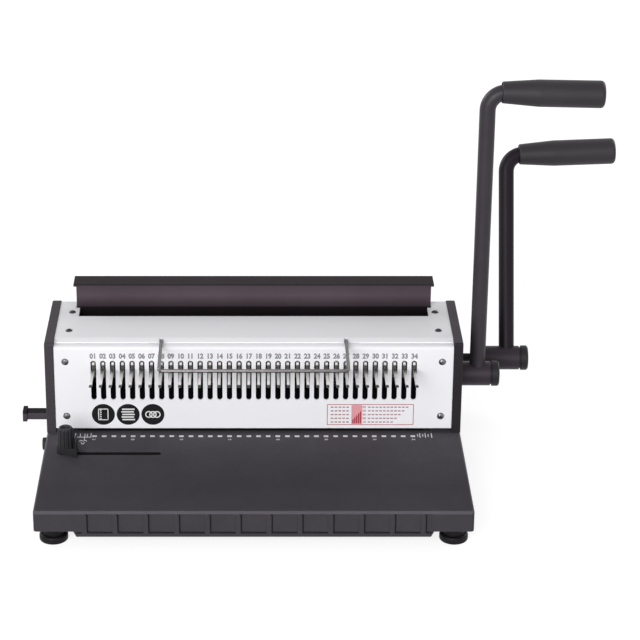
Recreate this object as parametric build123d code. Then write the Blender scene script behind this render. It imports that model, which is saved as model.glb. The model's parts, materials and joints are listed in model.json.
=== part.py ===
from build123d import *
import math
import os

# A desk-top wire binding machine: it punches a row of holes in a sheet and closes a twin-loop wire.
# Sizes are millimetres and angles are degrees. X runs across the machine, -Y faces the user, Z is up.
# The origin is on the table, under the middle of the base.

# Overall sizes
slot_pitch = 8.46667
slot_count = 34
slot_row_end_width = 42.3
base_depth = 280.0
base_height = 18.8
foot_height = 15.2
deck_reach = 149.0
body_height = 85.0
body_depth = 128.0
punch_handle_length = 260.9
closing_handle_length = 184.5
closing_lean_angle = 23.0
punch_grip_fall_angle = 1.2
closing_grip_rise_angle = 2.1

# Motion of the two handles
punch_turn = 80.0
punch_stroke = 6.0
closing_turn = 85.0
margin_turn = 30.0

# Clearances that mating pieces share
sheet_gap = 0.2
slide_gap = 0.3
bore_gap = 0.05
cut_over = 1.0
quarter_turn = 90.0

# Planes worked out from the overall sizes
base_front = -base_depth / 2
base_back = base_depth / 2
deck_z = foot_height + base_height
top_z = deck_z + body_height
panel_y = base_front + deck_reach
body_back = panel_y + body_depth
last_slot_x = slot_pitch * (slot_count - 1) / 2
first_slot_x = -last_slot_x
half_width = last_slot_x + slot_row_end_width
slot_places = [first_slot_x + slot_pitch * number for number in range(slot_count)]

# Base shell
base_wall = 3.0
base_front_wall = 5.0
base_corner_radius = 3.0
base_edge_radius = 2.2
lip_height = 4.8
lip_inset = 33.0
lip_taper = 2.5
fascia_inset = 2.0
fascia_depth = 2.0
fascia_top_margin = 2.8
fascia_groove_width = 1.2
fascia_groove_depth = 3.2
rib_count = 12
rib_from_end = 7.1
rib_width = 4.0
rib_corner_radius = 2.2
bay_shallow_depth = 0.7
boss_radius = 5.0

# Base plate, feet and their screws
plate_thickness = 1.5
foot_radius = 12.0
foot_collar_radius = 9.0
foot_collar_height = 8.6
foot_edge_radius = 2.0
foot_side_inset = 15.4
foot_inset = 16.0
foot_sink_radius = 5.0
foot_sink_depth = 5.0
foot_screw_radius = 2.0
foot_screw_head_radius = 4.0
foot_screw_head_height = 2.5
foot_screw_length = 21.0

# Side covers and the steel plates behind them
side_thickness = 8.0
side_skin = 3.0
side_rim = 3.0
side_proud = 0.8
side_edge_radius = 1.2
side_front_corner = 2.5
side_rear_corner = 6.0
side_shoulder_corner = 12.0
shoulder_drop = 35.0
top_run = 98.0

# White sheets and what they are screwed to
sheet = 1.5
top_sheet = 2.5
top_edge_run = 6.0
top_edge_drop = 1.6
top_front_inset = 8.0
flange_depth = 22.0
panel_bend = 3.0
panel_lift = 1.7
slot_width = 4.7
slot_top_drop = 15.9
slot_height = 37.4
opening_front = 62.0
opening_step_gap = 0.6
opening_inset = 3.6
top_back = 96.0
bracket_width = 14.0
bracket_depth = 6.0
cover_screw_radius = 1.6
cover_screw_head_radius = 3.2
cover_screw_head_height = 1.6
cover_screw_length = 7.0
cross_width = 0.8
front_screw_inset = 9.9
front_screw_drops = (17.0, 69.0)
top_screw_inset = 11.8
top_screw_backs = (29.5, 71.0)
rear_screw_drops = (50.0, 70.0)

# Punching: pins, die, guide and the beam that carries the pins
pin_back = 14.0
pin_size = 4.0
pin_clearance = 0.1
throat = 2.5
pin_lift = 1.0
die_front = 4.0
die_back = 30.0
die_end_gap = 9.0
die_height = 6.0
die_ledge = 5.0
die_ledge_height = 2.9
guide_end_gap = 14.0
guide_leg = 4.0
guide_height = 6.0
beam_front = 8.0
beam_back = 50.0
beam_end_gap = 3.0
beam_height = 12.7
beam_over_guide = 6.5
retainer_back = 20.0
retainer_height = 1.5
column_inset = 10.0
column_back = 18.0
column_radius = 5.0
column_height = 38.0
spring_wire_radius = 1.0
spring_turns = 3.5

# Punch shaft, its cams and bushes
punch_shaft_back = 38.0
punch_shaft_drop = 45.0
punch_shaft_radius = 8.0
cam_inset = 64.0
cam_width = 10.0
cam_hub_radius = 11.0
cam_lead_turn = 15.0
bush_wall = 3.0
bush_flange = 3.0
bush_flange_height = 1.8

# Closing: shaft, pinions, racks, bar and the bar that the wire lies on
closing_shaft_back = 88.0
closing_shaft_drop = 52.0
closing_shaft_radius = 6.0
closing_journal_radius = 4.0
module = 1.5
tooth_count = 12
pressure_angle = 20.0
rack_addendum = 1.0
root_clearance = 0.3
tooth_backlash = 0.25
dedendum_share = 1.2
root_inset_share = 0.9
flank_steps = 4
rack_width = 10.0
rack_lap = 2.0
rack_back_thickness = 6.6
rack_teeth = 8
teeth_below_axis = 1.5
rack_top_drop = 15.0
lug_height = 11.0
lug_lap = 1.5
web_back = 82.0
web_thickness = 2.0
web_end_margin = 15.0
web_edge_radius = 1.2
bar_rise = 22.0
flange_overhang = 2.6
closing_flange_depth = 21.5
rack_guide_front = 62.0
anvil_back = 96.0
anvil_height = 12.5
anvil_end_height = 8.0
anvil_sink = 0.5

# Wire fingers, their rail and the bail
finger_width = 2.4
finger_thickness = 1.5
finger_back = 7.2
finger_foot_drop = 35.0
finger_crown_drop = 18.0
finger_crown_back = 2.5
finger_drop = 23.4
finger_neck = 2.5
finger_reach = 38.0
finger_tip_reach = 3.5
finger_tip_rise = 1.9
finger_bend = 1.8
rail_height = 8.0
rail_depth = 6.0
bail_radius = 1.5
bail_reach = 55.0
bail_back = 9.5
bail_bend = 1.7
bail_corner = 4.0
bail_slot_count = 7
pintle_length = 11.5
pintle_gap = 0.15
saddle_width = 8.0
saddle_depth = 15.5
saddle_height = 9.0

# Side guide on the deck
guide_slot_width = 6.0
guide_slot_front = 41.5
guide_slot_inset = 14.0
guide_slot_length = 88.0
side_guide_inset = 20.0
guide_foot_left = 8.2
guide_foot_depth = 18.6
guide_foot_height = 7.5
guide_foot_slant = 9.0
fence_offset = 8.1
fence_thickness = 1.6
fence_depth = 12.0
fence_height = 16.0
guide_knob_radius = 7.6
guide_knob_top_radius = 6.8
guide_knob_ring_radius = 5.3
guide_knob_height = 17.4
guide_knob_flutes = 12
guide_flute_radius = 1.3
guide_flute_depth = 1.1
guide_knob_dish = 1.6
guide_knob_bevel = 2.0
knob_rim_share = 0.75
knob_dish_share = 0.6
guide_stud_radius = 2.0
clamp_thickness = 2.5
clamp_size = 15.0

# Margin setting
margin_front = 4.0
margin_z = 25.0
margin_knob_radius = 5.5
margin_knob_length = 3.5
margin_knob_flutes = 16
margin_flute_radius = 0.5
margin_spindle_radius = 2.5
margin_disc_radius = 4.6
margin_disc_thickness = 2.5
margin_crank = 3.0
margin_pin_radius = 1.2
stop_depth = 16.0
stop_from_hole = 4.0
stop_thickness = 1.9
stop_end_gap = 16.0
link_inset = 4.0
link_width = 3.0
link_height = 2.4
link_leg_depth = 4.5
link_travel_gap = 2.2
link_tab_width = 6.0
link_tab_height = 9.0

# Chip tray
tray_front = 3.0
tray_depth = 60.0
tray_end_inset = 22.0
tray_height = 10.8
tray_wall = 1.5
pull_back = 54.0
pull_depth = 10.0
pull_height = 6.8
pull_rise = 2.4
pull_length = 26.0
pull_flange = 1.9
pull_flange_thickness = 3.8
pull_collar = 1.0
pull_collar_thickness = 2.2

# Handles
arm_radius = 6.9
arm_bend = 15.6
hub_radius = 10.8
hub_gap = 0.4
hub_edge_radius = 0.4
cap_radius = 11.2
cap_length = 9.0
cap_chamfer = 1.2
cap_dome = 1.2
cap_neck_radius = 9.6
cap_neck_length = 1.6
punch_hub_length = 27.4
punch_arm_inset = 11.4
closing_hub_standoff = 18.8
closing_hub_length = 40.2
closing_arm_inset = 11.2
shaft_in_hub = 8.0
grip_length = 87.0
grip_standoff = 11.6
grip_mouth_radius = 8.2
grip_mouth_depth = 5.4
grip_neck_radius = 9.2
grip_body_radius = 11.6
grip_end_radius = 11.7
grip_swell = 31.0
grip_edge = 3.5
grip_neck_edge = 1.0
grip_wall = 8.0


def block(x, y, z):
    """A box between the two values given for each axis."""
    size = (x[1] - x[0], y[1] - y[0], z[1] - z[0])
    return Pos((x[0] + x[1]) / 2, (y[0] + y[1]) / 2, (z[0] + z[1]) / 2) * Box(*size)


def both_sides(x, y, z):
    """The same box on the right and, mirrored, on the left."""
    return [block(x, y, z), block((-x[1], -x[0]), y, z)]


def round_x(x, y, z, radius):
    """A round bar along X between the two values of x."""
    return Pos((x[0] + x[1]) / 2, y, z) * Rot(0, quarter_turn, 0) * Cylinder(radius, x[1] - x[0])


def round_y(x, y, z, radius):
    """A round bar along Y between the two values of y."""
    return Pos(x, (y[0] + y[1]) / 2, z) * Rot(quarter_turn, 0, 0) * Cylinder(radius, y[1] - y[0])


def round_z(x, y, z, radius):
    """A round bar along Z between the two values of z."""
    return Pos(x, y, (z[0] + z[1]) / 2) * Cylinder(radius, z[1] - z[0])


def side_plate(points, radii, x):
    """A plate across X from an outline in Y and Z with one corner radius for each point."""
    outline = FilletPolyline(*points, radius=radii, close=True)
    return extrude(Plane.YZ.offset(x[0]) * make_face(outline), x[1] - x[0], dir=(1, 0, 0))


def bent_sheet(points, bend, thickness, x):
    """A sheet of even thickness across X, bent along a line in Y and Z at its middle."""
    line = FilletPolyline(*points, radius=bend)
    return extrude(Plane.YZ.offset(x[0]) * trace(line, thickness), x[1] - x[0], dir=(1, 0, 0))


def turned(points):
    """A turned piece about Z from its outline of radius and height."""
    outline = make_face(Polyline(*points, close=True))
    return revolve(Plane.XZ * outline, Axis.Z)


def mirrored(shape):
    """The left-hand twin of a right-hand piece."""
    return mirror(shape, Plane.YZ)


def fluted(blank, radius, count, flute_radius, length, lean=0):
    """A knob blank about Z with round flutes cut along its rim, which may lean towards its top."""
    cutter = Rot(0, -lean, 0) * Cylinder(flute_radius, length + 2 * cut_over)
    places = PolarLocations(radius, count)
    return blank - [place * Pos(0, 0, length / 2) * cutter for place in places]


def screw(head_radius, head_height, radius, length):
    """A domed cross-head screw that points down from its seat at the origin."""
    dome = (head_radius ** 2 + head_height ** 2) / (2 * head_height)
    cap = Pos(0, 0, head_height - dome) * Sphere(dome)
    span = 2 * head_radius
    head = cap & block((-span, span), (-span, span), (0, span))
    cross = Pos(0, 0, head_height) * Box(head_radius, cross_width, head_height)
    cross += Pos(0, 0, head_height) * Box(cross_width, head_radius, head_height)
    return head - cross + round_z(0, 0, (-length, 0), radius)


def foot_places():
    """The four places of the feet in plan."""
    front = base_front + foot_inset
    back = base_back - foot_inset
    return {
        "front_left": (-foot_x, front),
        "front_right": (foot_x, front),
        "rear_left": (-foot_x, back),
        "rear_right": (foot_x, back),
    }


# Places across the machine
lip_half_width = half_width - lip_inset
fascia_half_width = lip_half_width - fascia_inset
rib_pitch = 2 * (fascia_half_width - rib_from_end) / (rib_count - 1)
foot_x = half_width - foot_side_inset
frame_inner_x = half_width - side_thickness
frame_outer_x = half_width - side_skin
sheet_half_width = frame_inner_x - sheet_gap
front_screw_x = frame_inner_x - front_screw_inset
top_screw_x = frame_inner_x - top_screw_inset
column_x = frame_inner_x - column_inset
beam_half_width = frame_inner_x - beam_end_gap
cam_x = frame_inner_x - cam_inset
web_half_width = frame_inner_x - web_end_margin
flange_half_width = web_half_width + flange_overhang
bar_opening_half_width = web_half_width + opening_step_gap
opening_half_width = bar_opening_half_width - opening_inset
rack_inner_x = web_half_width - rack_lap
rack_outer_x = rack_inner_x + rack_width
lug_inner_x = rack_inner_x - lug_lap
die_half_width = column_x - die_end_gap
guide_half_width = column_x - guide_end_gap
stop_half_width = column_x - stop_end_gap
link_outer_x = frame_inner_x - link_inset
guide_slot_left = -half_width + guide_slot_inset
guide_slot_right = guide_slot_left + guide_slot_length
side_guide_x = -half_width + side_guide_inset
tray_length = 2 * half_width - tray_end_inset
punch_hub_start = half_width + hub_gap
punch_hub_end = punch_hub_start + punch_hub_length
punch_arm_x = punch_hub_end - punch_arm_inset
closing_hub_start = half_width + closing_hub_standoff
closing_hub_end = closing_hub_start + closing_hub_length
closing_arm_x = closing_hub_end - closing_arm_inset

# Where the moving pieces sit at rest
punch_shaft_y = panel_y + punch_shaft_back
punch_shaft_z = top_z - punch_shaft_drop
closing_shaft_y = panel_y + closing_shaft_back
closing_shaft_z = top_z - closing_shaft_drop
throat_z = deck_z + throat
pin_y = panel_y + pin_back
column_y = panel_y + column_back
beam_z = throat_z + guide_height + beam_over_guide
beam_top = beam_z + beam_height
cam_radius = punch_shaft_z - beam_top - slide_gap
cam_rate = punch_stroke / math.radians(punch_turn)
bail_x = slot_places[-1] - slot_pitch * bail_slot_count
top_under = top_z - top_sheet
bail_pivot_z = top_under - pintle_gap - bail_radius
bail_pivot_y = panel_y + bail_back
bail_z = top_under + slide_gap + bail_radius
guide_knob_y = panel_y - guide_slot_front
margin_y = panel_y - margin_front
plate_top = foot_height + plate_thickness
tray_z = plate_top + sheet_gap
tray_y = (panel_y + tray_front + slide_gap, panel_y + tray_front + tray_depth - slide_gap)
stop_y = pin_y + pin_size / 2 + stop_from_hole
rear_face = body_back - sheet_gap - side_rim / 2

# How the closing pinions and racks mesh
tooth_step = math.pi * module
pitch_radius = module * tooth_count / 2
closing_stroke = pitch_radius * math.radians(closing_turn)
rack_pitch_y = closing_shaft_y - pitch_radius
rack_tip_y = rack_pitch_y + rack_addendum
rack_root_y = rack_pitch_y - module - root_clearance
rack_back_y = rack_root_y - rack_back_thickness
rack_low = closing_shaft_z - tooth_step * teeth_below_axis
print("closing bar travel", round(closing_stroke, 2))


def fascia_bay(left, right, bottom, top):
    """The cutter of one bay: it slopes forward to the right and goes over the rib's round corner."""
    over = left - rib_corner_radius
    centre = top - rib_corner_radius
    turn = math.radians(quarter_turn / 2)
    middle = (over + rib_corner_radius * math.sin(turn), centre + rib_corner_radius * math.cos(turn))
    outline = make_face([
        Line((left, bottom), (right, bottom)),
        Line((right, bottom), (right, top)),
        Line((right, top), (over, top)),
        ThreePointArc((over, top), middle, (left, centre)),
        Line((left, centre), (left, bottom)),
    ])
    upright = Plane.XZ.offset(-base_front + cut_over) * outline
    bay = extrude(upright, fascia_depth + cut_over, dir=(0, 1, 0))
    front = base_front - cut_over
    plan = [
        (over, front),
        (right, front),
        (right, base_front + bay_shallow_depth),
        (left, base_front + fascia_depth),
        (over, base_front + fascia_depth),
    ]
    slope = Plane.XY.offset(bottom) * make_face(Polyline(*plan, close=True))
    return bay & extrude(slope, top - bottom, dir=(0, 0, 1))


def make_deck_base():
    """The moulded base: deck, walls and the ribbed front, open underneath."""
    inner_front = base_front + base_front_wall
    shell = block((-half_width, half_width), (base_front, base_back), (foot_height, deck_z))
    shell = fillet(shell.edges().filter_by(Axis.Z), base_corner_radius)
    shell = fillet(shell.faces().sort_by(Axis.Z)[-1].edges(), base_edge_radius)
    inside_x = (-half_width + base_wall, half_width - base_wall)
    shell -= block(inside_x, (inner_front, base_back - base_wall), (0, deck_z - base_wall))

    lip_bottom = foot_height - lip_height
    lip_points = [
        (-lip_half_width, foot_height + cut_over),
        (-lip_half_width, foot_height),
        (-lip_half_width + lip_taper, lip_bottom),
        (lip_half_width - lip_taper, lip_bottom),
        (lip_half_width, foot_height),
        (lip_half_width, foot_height + cut_over),
    ]
    lip_face = Plane.XZ.offset(-base_front) * make_face(Polyline(*lip_points, close=True))
    shell += extrude(lip_face, base_front_wall, dir=(0, 1, 0))

    fascia_top = deck_z - fascia_top_margin
    fascia_bottom = lip_bottom + base_wall
    rib_places = [rib_pitch * (number - (rib_count - 1) / 2) for number in range(rib_count)]
    lefts = [-fascia_half_width] + [place + rib_width / 2 for place in rib_places]
    rights = [place - rib_width / 2 for place in rib_places] + [fascia_half_width]
    groove_y = (base_front - cut_over, base_front + fascia_groove_depth)
    for left, right in zip(lefts, rights):
        shell -= block((left, right), groove_y, (fascia_bottom, fascia_bottom + fascia_groove_width))
    for left, right in zip(lefts[1:], rights[1:]):
        shell -= fascia_bay(left, right, fascia_bottom, fascia_top)
        shell -= block((left, left + fascia_groove_width), groove_y, (fascia_bottom, fascia_top))

    screw_hole_top = foot_sink_depth + foot_screw_length + bore_gap
    for x, y in foot_places().values():
        shell += round_z(x, y, (plate_top, deck_z - base_edge_radius), boss_radius)
        shell -= round_z(x, y, (0, screw_hole_top), foot_screw_radius + bore_gap)

    through_deck = (deck_z - base_wall - cut_over, deck_z + cut_over)
    die_x = die_half_width + sheet_gap
    die_y = (panel_y + die_front - sheet_gap, panel_y + die_back + sheet_gap)
    shell -= block((-die_x, die_x), die_y, through_deck)
    half_slot = guide_slot_width / 2
    slot_y = (guide_knob_y - half_slot, guide_knob_y + half_slot)
    shell -= block((guide_slot_left + half_slot, guide_slot_right - half_slot), slot_y, through_deck)
    for x in (guide_slot_left + half_slot, guide_slot_right - half_slot):
        shell -= round_z(x, guide_knob_y, through_deck, half_slot)
    for x in (-column_x, column_x):
        shell -= round_z(x, column_y, through_deck, column_radius + bore_gap)

    leg_y = (stop_y + stop_depth - link_leg_depth - link_travel_gap, stop_y + stop_depth + link_travel_gap)
    leg_x = (-link_outer_x - slide_gap, -link_outer_x + link_width + slide_gap)
    shell -= block(leg_x, leg_y, through_deck)
    left_wall = (-half_width - cut_over, -half_width + base_wall + cut_over)
    door_y = (panel_y + tray_front, panel_y + tray_front + tray_depth)
    shell -= block(left_wall, door_y, (plate_top, tray_z + tray_height + slide_gap))
    shell -= round_x(left_wall, margin_y, margin_z, margin_spindle_radius + bore_gap)
    return shell


def make_bottom_plate():
    """The steel sheet that closes the base from below."""
    inside = half_width - base_wall - sheet_gap
    y = (base_front + base_front_wall + sheet_gap, base_back - base_wall - sheet_gap)
    plate = block((-inside, inside), y, (foot_height, plate_top))
    for x, y in foot_places().values():
        plate -= round_z(x, y, (0, deck_z), foot_screw_radius + bore_gap)
    return plate


def make_foot(x, y):
    """One stepped rubber foot with a sunk hole for its screw."""
    disc = round_z(x, y, (0, foot_height - foot_collar_height), foot_radius)
    disc = fillet(disc.edges(), foot_edge_radius)
    foot = disc + round_z(x, y, (foot_edge_radius, foot_height), foot_collar_radius)
    foot -= round_z(x, y, (-cut_over, foot_sink_depth), foot_sink_radius)
    return foot - round_z(x, y, (-cut_over, foot_height + cut_over), foot_screw_radius + bore_gap)


def make_foot_screws():
    """Four pan-head screws, one up through each foot into the base."""
    seat = foot_sink_depth
    blank = round_z(0, 0, (seat - foot_screw_head_height, seat), foot_screw_head_radius)
    blank += round_z(0, 0, (seat, seat + foot_screw_length), foot_screw_radius)
    slot_z = (0, seat - foot_screw_head_height / 2)
    blank -= block((-foot_radius, foot_radius), (-cross_width / 2, cross_width / 2), slot_z)
    return Compound(children=[Pos(x, y, 0) * blank for x, y in foot_places().values()])


def side_outline(inset):
    """Corner points of the body's side, with its edges moved in by the inset."""
    front = panel_y - side_proud + inset
    top = top_z + side_proud - inset
    back = body_back - inset
    return [
        (front, deck_z),
        (front, top),
        (panel_y + top_run - inset, top),
        (back, top_z - shoulder_drop - inset),
        (back, deck_z),
    ]


def side_radii(inset):
    """Corner radii that belong to the outline at the same inset."""
    rounds = (side_front_corner, side_rear_corner, side_shoulder_corner)
    return [0] + [max(radius - inset, side_edge_radius) for radius in rounds] + [0]


def make_side_cover():
    """The right-hand black side cover, hollow on its inner face."""
    cover = side_plate(side_outline(0), side_radii(0), (frame_inner_x, half_width))
    outer = cover.faces().sort_by(Axis.X)[-1].edges()
    cover = fillet(outer.filter_by(lambda edge: edge.center().Z > deck_z + cut_over), side_edge_radius)
    pocket_x = (frame_inner_x - cut_over, frame_outer_x)
    return cover - side_plate(side_outline(side_rim), side_radii(side_rim), pocket_x)


def make_right_side_cover():
    """The right-hand cover with the holes that the two shafts come out of."""
    x = (frame_inner_x, half_width + cut_over)
    cover = make_side_cover() - round_x(x, punch_shaft_y, punch_shaft_z, punch_shaft_radius + sheet_gap)
    return cover - round_x(x, closing_shaft_y, closing_shaft_z, closing_shaft_radius + sheet_gap)


def make_frame_plate():
    """The right-hand steel plate that carries both shafts in bushes."""
    inset = side_rim + sheet_gap
    x = (frame_inner_x, frame_outer_x - sheet_gap)
    plate = side_plate(side_outline(inset), side_radii(inset), x)
    cut_x = (frame_inner_x - cut_over, frame_outer_x + cut_over)
    punch_bore = punch_shaft_radius + bush_wall + bore_gap
    closing_bore = closing_shaft_radius + bush_wall + bore_gap
    plate -= round_x(cut_x, punch_shaft_y, punch_shaft_z, punch_bore)
    return plate - round_x(cut_x, closing_shaft_y, closing_shaft_z, closing_bore)


def slot_cutters():
    """The cutters for the row of long round-ended slots in the front panel."""
    radius = slot_width / 2
    high = top_z - slot_top_drop - radius
    low = top_z - slot_top_drop - slot_height + radius
    y = (panel_y - cut_over, panel_y + sheet + cut_over)
    one = block((-radius, radius), y, (low, high))
    one += round_y(0, y, low, radius) + round_y(0, y, high, radius)
    return [Pos(x, 0, 0) * one for x in slot_places]


def bail_windows(back, z):
    """Cutters that let the bail's arms swing up through a sheet."""
    half = bail_radius + slide_gap + bore_gap
    y = (panel_y + top_front_inset - 2 * bail_radius, back)
    return [block((x - half, x + half), y, z) for x in (-bail_x, bail_x)]


def make_front_panel():
    """The white front sheet with its slots, bent back under the top cover."""
    middle = sheet / 2
    flange_z = top_under - middle
    points = [
        (panel_y + middle, throat_z + panel_lift),
        (panel_y + middle, flange_z),
        (panel_y + flange_depth, flange_z),
    ]
    panel = bent_sheet(points, panel_bend - middle, sheet, (-sheet_half_width, sheet_half_width))
    panel -= slot_cutters()
    y = (panel_y - cut_over, panel_y + sheet + cut_over)
    for x in (-front_screw_x, front_screw_x):
        for drop in front_screw_drops:
            panel -= round_y(x, y, top_z - drop, cover_screw_radius + bore_gap)
    window_back = bail_pivot_y + bail_z - bail_pivot_z + bail_radius + slide_gap
    window_z = (top_under - sheet - cut_over, top_under + cut_over)
    half = bail_radius + slide_gap + bore_gap
    for side in (-1, 1):
        inner = side * (bail_x - half)
        outer = side * (bail_x + pintle_length + slide_gap)
        y = (bail_pivot_y - bail_radius - slide_gap, window_back)
        panel -= block((min(inner, outer), max(inner, outer)), y, window_z)
    return panel


def make_top_cover():
    """The white top sheet: sloped front edge, opening for the closing bar, a tab at each side."""
    front = panel_y + top_front_inset
    points = [
        (front, top_under),
        (front, top_z - top_edge_drop),
        (front + top_edge_run, top_z),
        (panel_y + top_back, top_z),
        (panel_y + top_back, top_under),
    ]
    edge = top_edge_drop / 2
    cover = side_plate(points, [0, edge, top_edge_run, 0, 0], (-sheet_half_width, sheet_half_width))
    through = (top_under - cut_over, top_z + cut_over)
    opening_y = (panel_y + opening_front, panel_y + top_back + cut_over)
    cover -= block((-opening_half_width, opening_half_width), opening_y, through)
    step_y = (panel_y + web_back - opening_step_gap, panel_y + top_back + cut_over)
    cover -= block((-bar_opening_half_width, bar_opening_half_width), step_y, through)
    for x in (-top_screw_x, top_screw_x):
        for back in top_screw_backs:
            cover -= round_z(x, panel_y + back, through, cover_screw_radius + bore_gap)
    arm_back = bail_pivot_y + bail_z - bail_pivot_z + bail_radius + slide_gap
    return cover - bail_windows(arm_back, through)


def make_rear_cover():
    """The white rear sheet that slopes down to the base."""
    middle = sheet / 2
    back = body_back - sheet_gap - middle - side_rim / 2
    points = [
        (panel_y + top_back + sheet_gap + sheet, top_z - sheet),
        (back, top_z - shoulder_drop - middle),
        (back, deck_z),
    ]
    cover = bent_sheet(points, side_shoulder_corner, sheet, (-sheet_half_width, sheet_half_width))
    for x in (-front_screw_x, front_screw_x):
        for drop in rear_screw_drops:
            cover -= round_y(x, (back - sheet, back + sheet), top_z - drop, cover_screw_radius + bore_gap)
    return cover


def cover_screw_places():
    """Where each cover screw sits, with its own Z pointing out of the cover."""
    places = []
    for x in (-front_screw_x, front_screw_x):
        for drop in front_screw_drops:
            places.append(Pos(x, panel_y, top_z - drop) * Rot(quarter_turn, 0, 0))
        for drop in rear_screw_drops:
            places.append(Pos(x, rear_face, top_z - drop) * Rot(-quarter_turn, 0, 0))
    for x in (-top_screw_x, top_screw_x):
        for back in top_screw_backs:
            places.append(Pos(x, panel_y + back, top_z))
    return places


def make_cover_screws():
    """The twelve domed screws of the front, top and rear covers."""
    one = screw(cover_screw_head_radius, cover_screw_head_height, cover_screw_radius, cover_screw_length)
    return Compound(children=[place * one for place in cover_screw_places()])


def make_cover_brackets():
    """Six steel bars on the frame plates that the cover screws bite into."""
    x = (frame_inner_x - bracket_width, frame_inner_x)
    front_y = (panel_y + sheet, panel_y + sheet + bracket_depth)
    front_z = (top_z - front_screw_drops[1] - bracket_depth, top_under - sheet - bracket_depth)
    rear_y = (rear_face - sheet - bracket_depth, rear_face - sheet)
    rear_z = (top_z - rear_screw_drops[1] - bracket_depth, top_z - rear_screw_drops[0] + bracket_depth)
    top_y = (panel_y + top_screw_backs[0] - bracket_depth, panel_y + top_screw_backs[1] + bracket_depth)
    bars = both_sides(x, front_y, front_z)
    bars += both_sides(x, top_y, (top_under - bracket_depth, top_under))
    bars += both_sides(x, rear_y, rear_z)
    hole = round_z(0, 0, (-cover_screw_length - bracket_depth, cut_over), cover_screw_radius + bore_gap)
    holes = [place * hole for place in cover_screw_places()]
    return Compound(children=[bar - holes for bar in bars])


def pin_holes(z):
    """Square cutters for the row of punch pins."""
    half = pin_size / 2 + pin_clearance
    y = (pin_y - half, pin_y + half)
    return [block((x - half, x + half), y, z) for x in slot_places]


def make_die_block():
    """The hardened die, flush with the deck, with a ledge that hooks under it."""
    y = (panel_y + die_front, panel_y + die_back)
    bottom = deck_z - die_height
    die = block((-die_half_width, die_half_width), y, (bottom, deck_z))
    ledge = die_half_width + die_ledge
    die += block((-ledge, ledge), y, (bottom, bottom + die_ledge_height))
    return die - pin_holes((bottom - cut_over, deck_z + cut_over))


def make_punch_guide():
    """The guide above the paper throat, standing on a leg at each end."""
    y = (panel_y + die_front, panel_y + die_back)
    top = throat_z + guide_height
    leg_x = (guide_half_width, guide_half_width + guide_leg)
    guide = block((-leg_x[1], leg_x[1]), y, (throat_z, top))
    guide += both_sides(leg_x, y, (deck_z, top))
    return guide - pin_holes((throat_z - cut_over, top + cut_over))


def make_punch_beam():
    """The heavy beam that drives the pins, with a bore for each guide column."""
    y = (panel_y + beam_front, panel_y + beam_back)
    beam = block((-beam_half_width, beam_half_width), y, (beam_z, beam_top))
    through = (beam_z - cut_over, beam_top + cut_over)
    for x in (-column_x, column_x):
        beam -= round_z(x, column_y, through, column_radius + bore_gap)
    return beam - pin_holes(through)


def make_pin_retainer():
    """The strip screwed over the pins' heads."""
    y = (panel_y + beam_front, panel_y + retainer_back)
    return block((-guide_half_width, guide_half_width), y, (beam_top, beam_top + retainer_height))


def make_punch_pins():
    """The square pins, held up in the beam and ready above the throat."""
    half = pin_size / 2
    y = (pin_y - half, pin_y + half)
    z = (throat_z + pin_lift, beam_top)
    return Compound(children=[block((x - half, x + half), y, z) for x in slot_places])


def make_guide_column(x):
    """One guide column that stands in the deck and keeps the beam level."""
    return round_z(x, column_y, (deck_z - base_wall, deck_z + column_height), column_radius)


def make_return_spring(x):
    """The spring round a guide column that lifts the beam."""
    mean_radius = column_radius + spring_wire_radius + slide_gap
    length = beam_z - deck_z
    rise = length - 2 * spring_wire_radius
    path = Helix(pitch=rise / spring_turns, height=rise, radius=mean_radius)
    wire = Plane(origin=path @ 0, z_dir=path % 0) * Circle(spring_wire_radius)
    coil = sweep(wire, path=path, is_frenet=True)
    print("spring gap between turns", round(rise / spring_turns - 2 * spring_wire_radius, 2))
    return Pos(x, column_y, deck_z + spring_wire_radius) * coil


def make_shaft(y, z, radius, right):
    """A steel shaft from the left frame plate to inside its handle hub."""
    return round_x((-frame_outer_x + sheet_gap, right), y, z, radius)


def make_closing_shaft():
    """The closing shaft, turned down where it leaves the side cover for its hub."""
    shoulder = half_width + sheet_gap
    shaft = make_shaft(closing_shaft_y, closing_shaft_z, closing_shaft_radius, shoulder)
    journal_x = (shoulder, closing_hub_start + shaft_in_hub)
    return shaft + round_x(journal_x, closing_shaft_y, closing_shaft_z, closing_journal_radius)


def make_bushes(y, z, radius):
    """A flanged bush for each end of a shaft."""
    x = (frame_inner_x - bush_flange_height, frame_outer_x - sheet_gap)
    bush = round_x(x, y, z, radius + bush_wall)
    bush += round_x((x[0], frame_inner_x), y, z, radius + bush_wall + bush_flange)
    bush -= round_x((x[0] - cut_over, x[1] + cut_over), y, z, radius + bore_gap)
    return Compound(children=[bush, mirrored(bush)])


def cam_point(turn):
    """A point of the cam's working face, whose lift grows evenly with the turn."""
    angle = math.radians(turn)
    lift = cam_radius + cam_rate * angle
    along = -math.sin(angle) * lift - math.cos(angle) * cam_rate
    up = -math.cos(angle) * lift + math.sin(angle) * cam_rate
    return (punch_shaft_y + along, punch_shaft_z + up)


def make_punch_cam(x):
    """A snail cam whose flat follower moves down by the same amount for every degree."""
    turns = range(-int(cam_lead_turn), int(punch_turn + 2 * cam_lead_turn), int(cam_lead_turn))
    points = [cam_point(turn) for turn in turns]
    centre = (punch_shaft_y, punch_shaft_z)
    face = make_face([Spline(*points), Line(points[-1], centre), Line(centre, points[0])])
    span = (x - cam_width / 2, x + cam_width / 2)
    cam = extrude(Plane.YZ.offset(span[0]) * face, cam_width, dir=(1, 0, 0))
    cam += round_x(span, punch_shaft_y, punch_shaft_z, cam_hub_radius)
    cut = (span[0] - cut_over, span[1] + cut_over)
    return cam - round_x(cut, punch_shaft_y, punch_shaft_z, punch_shaft_radius + bore_gap)


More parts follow.
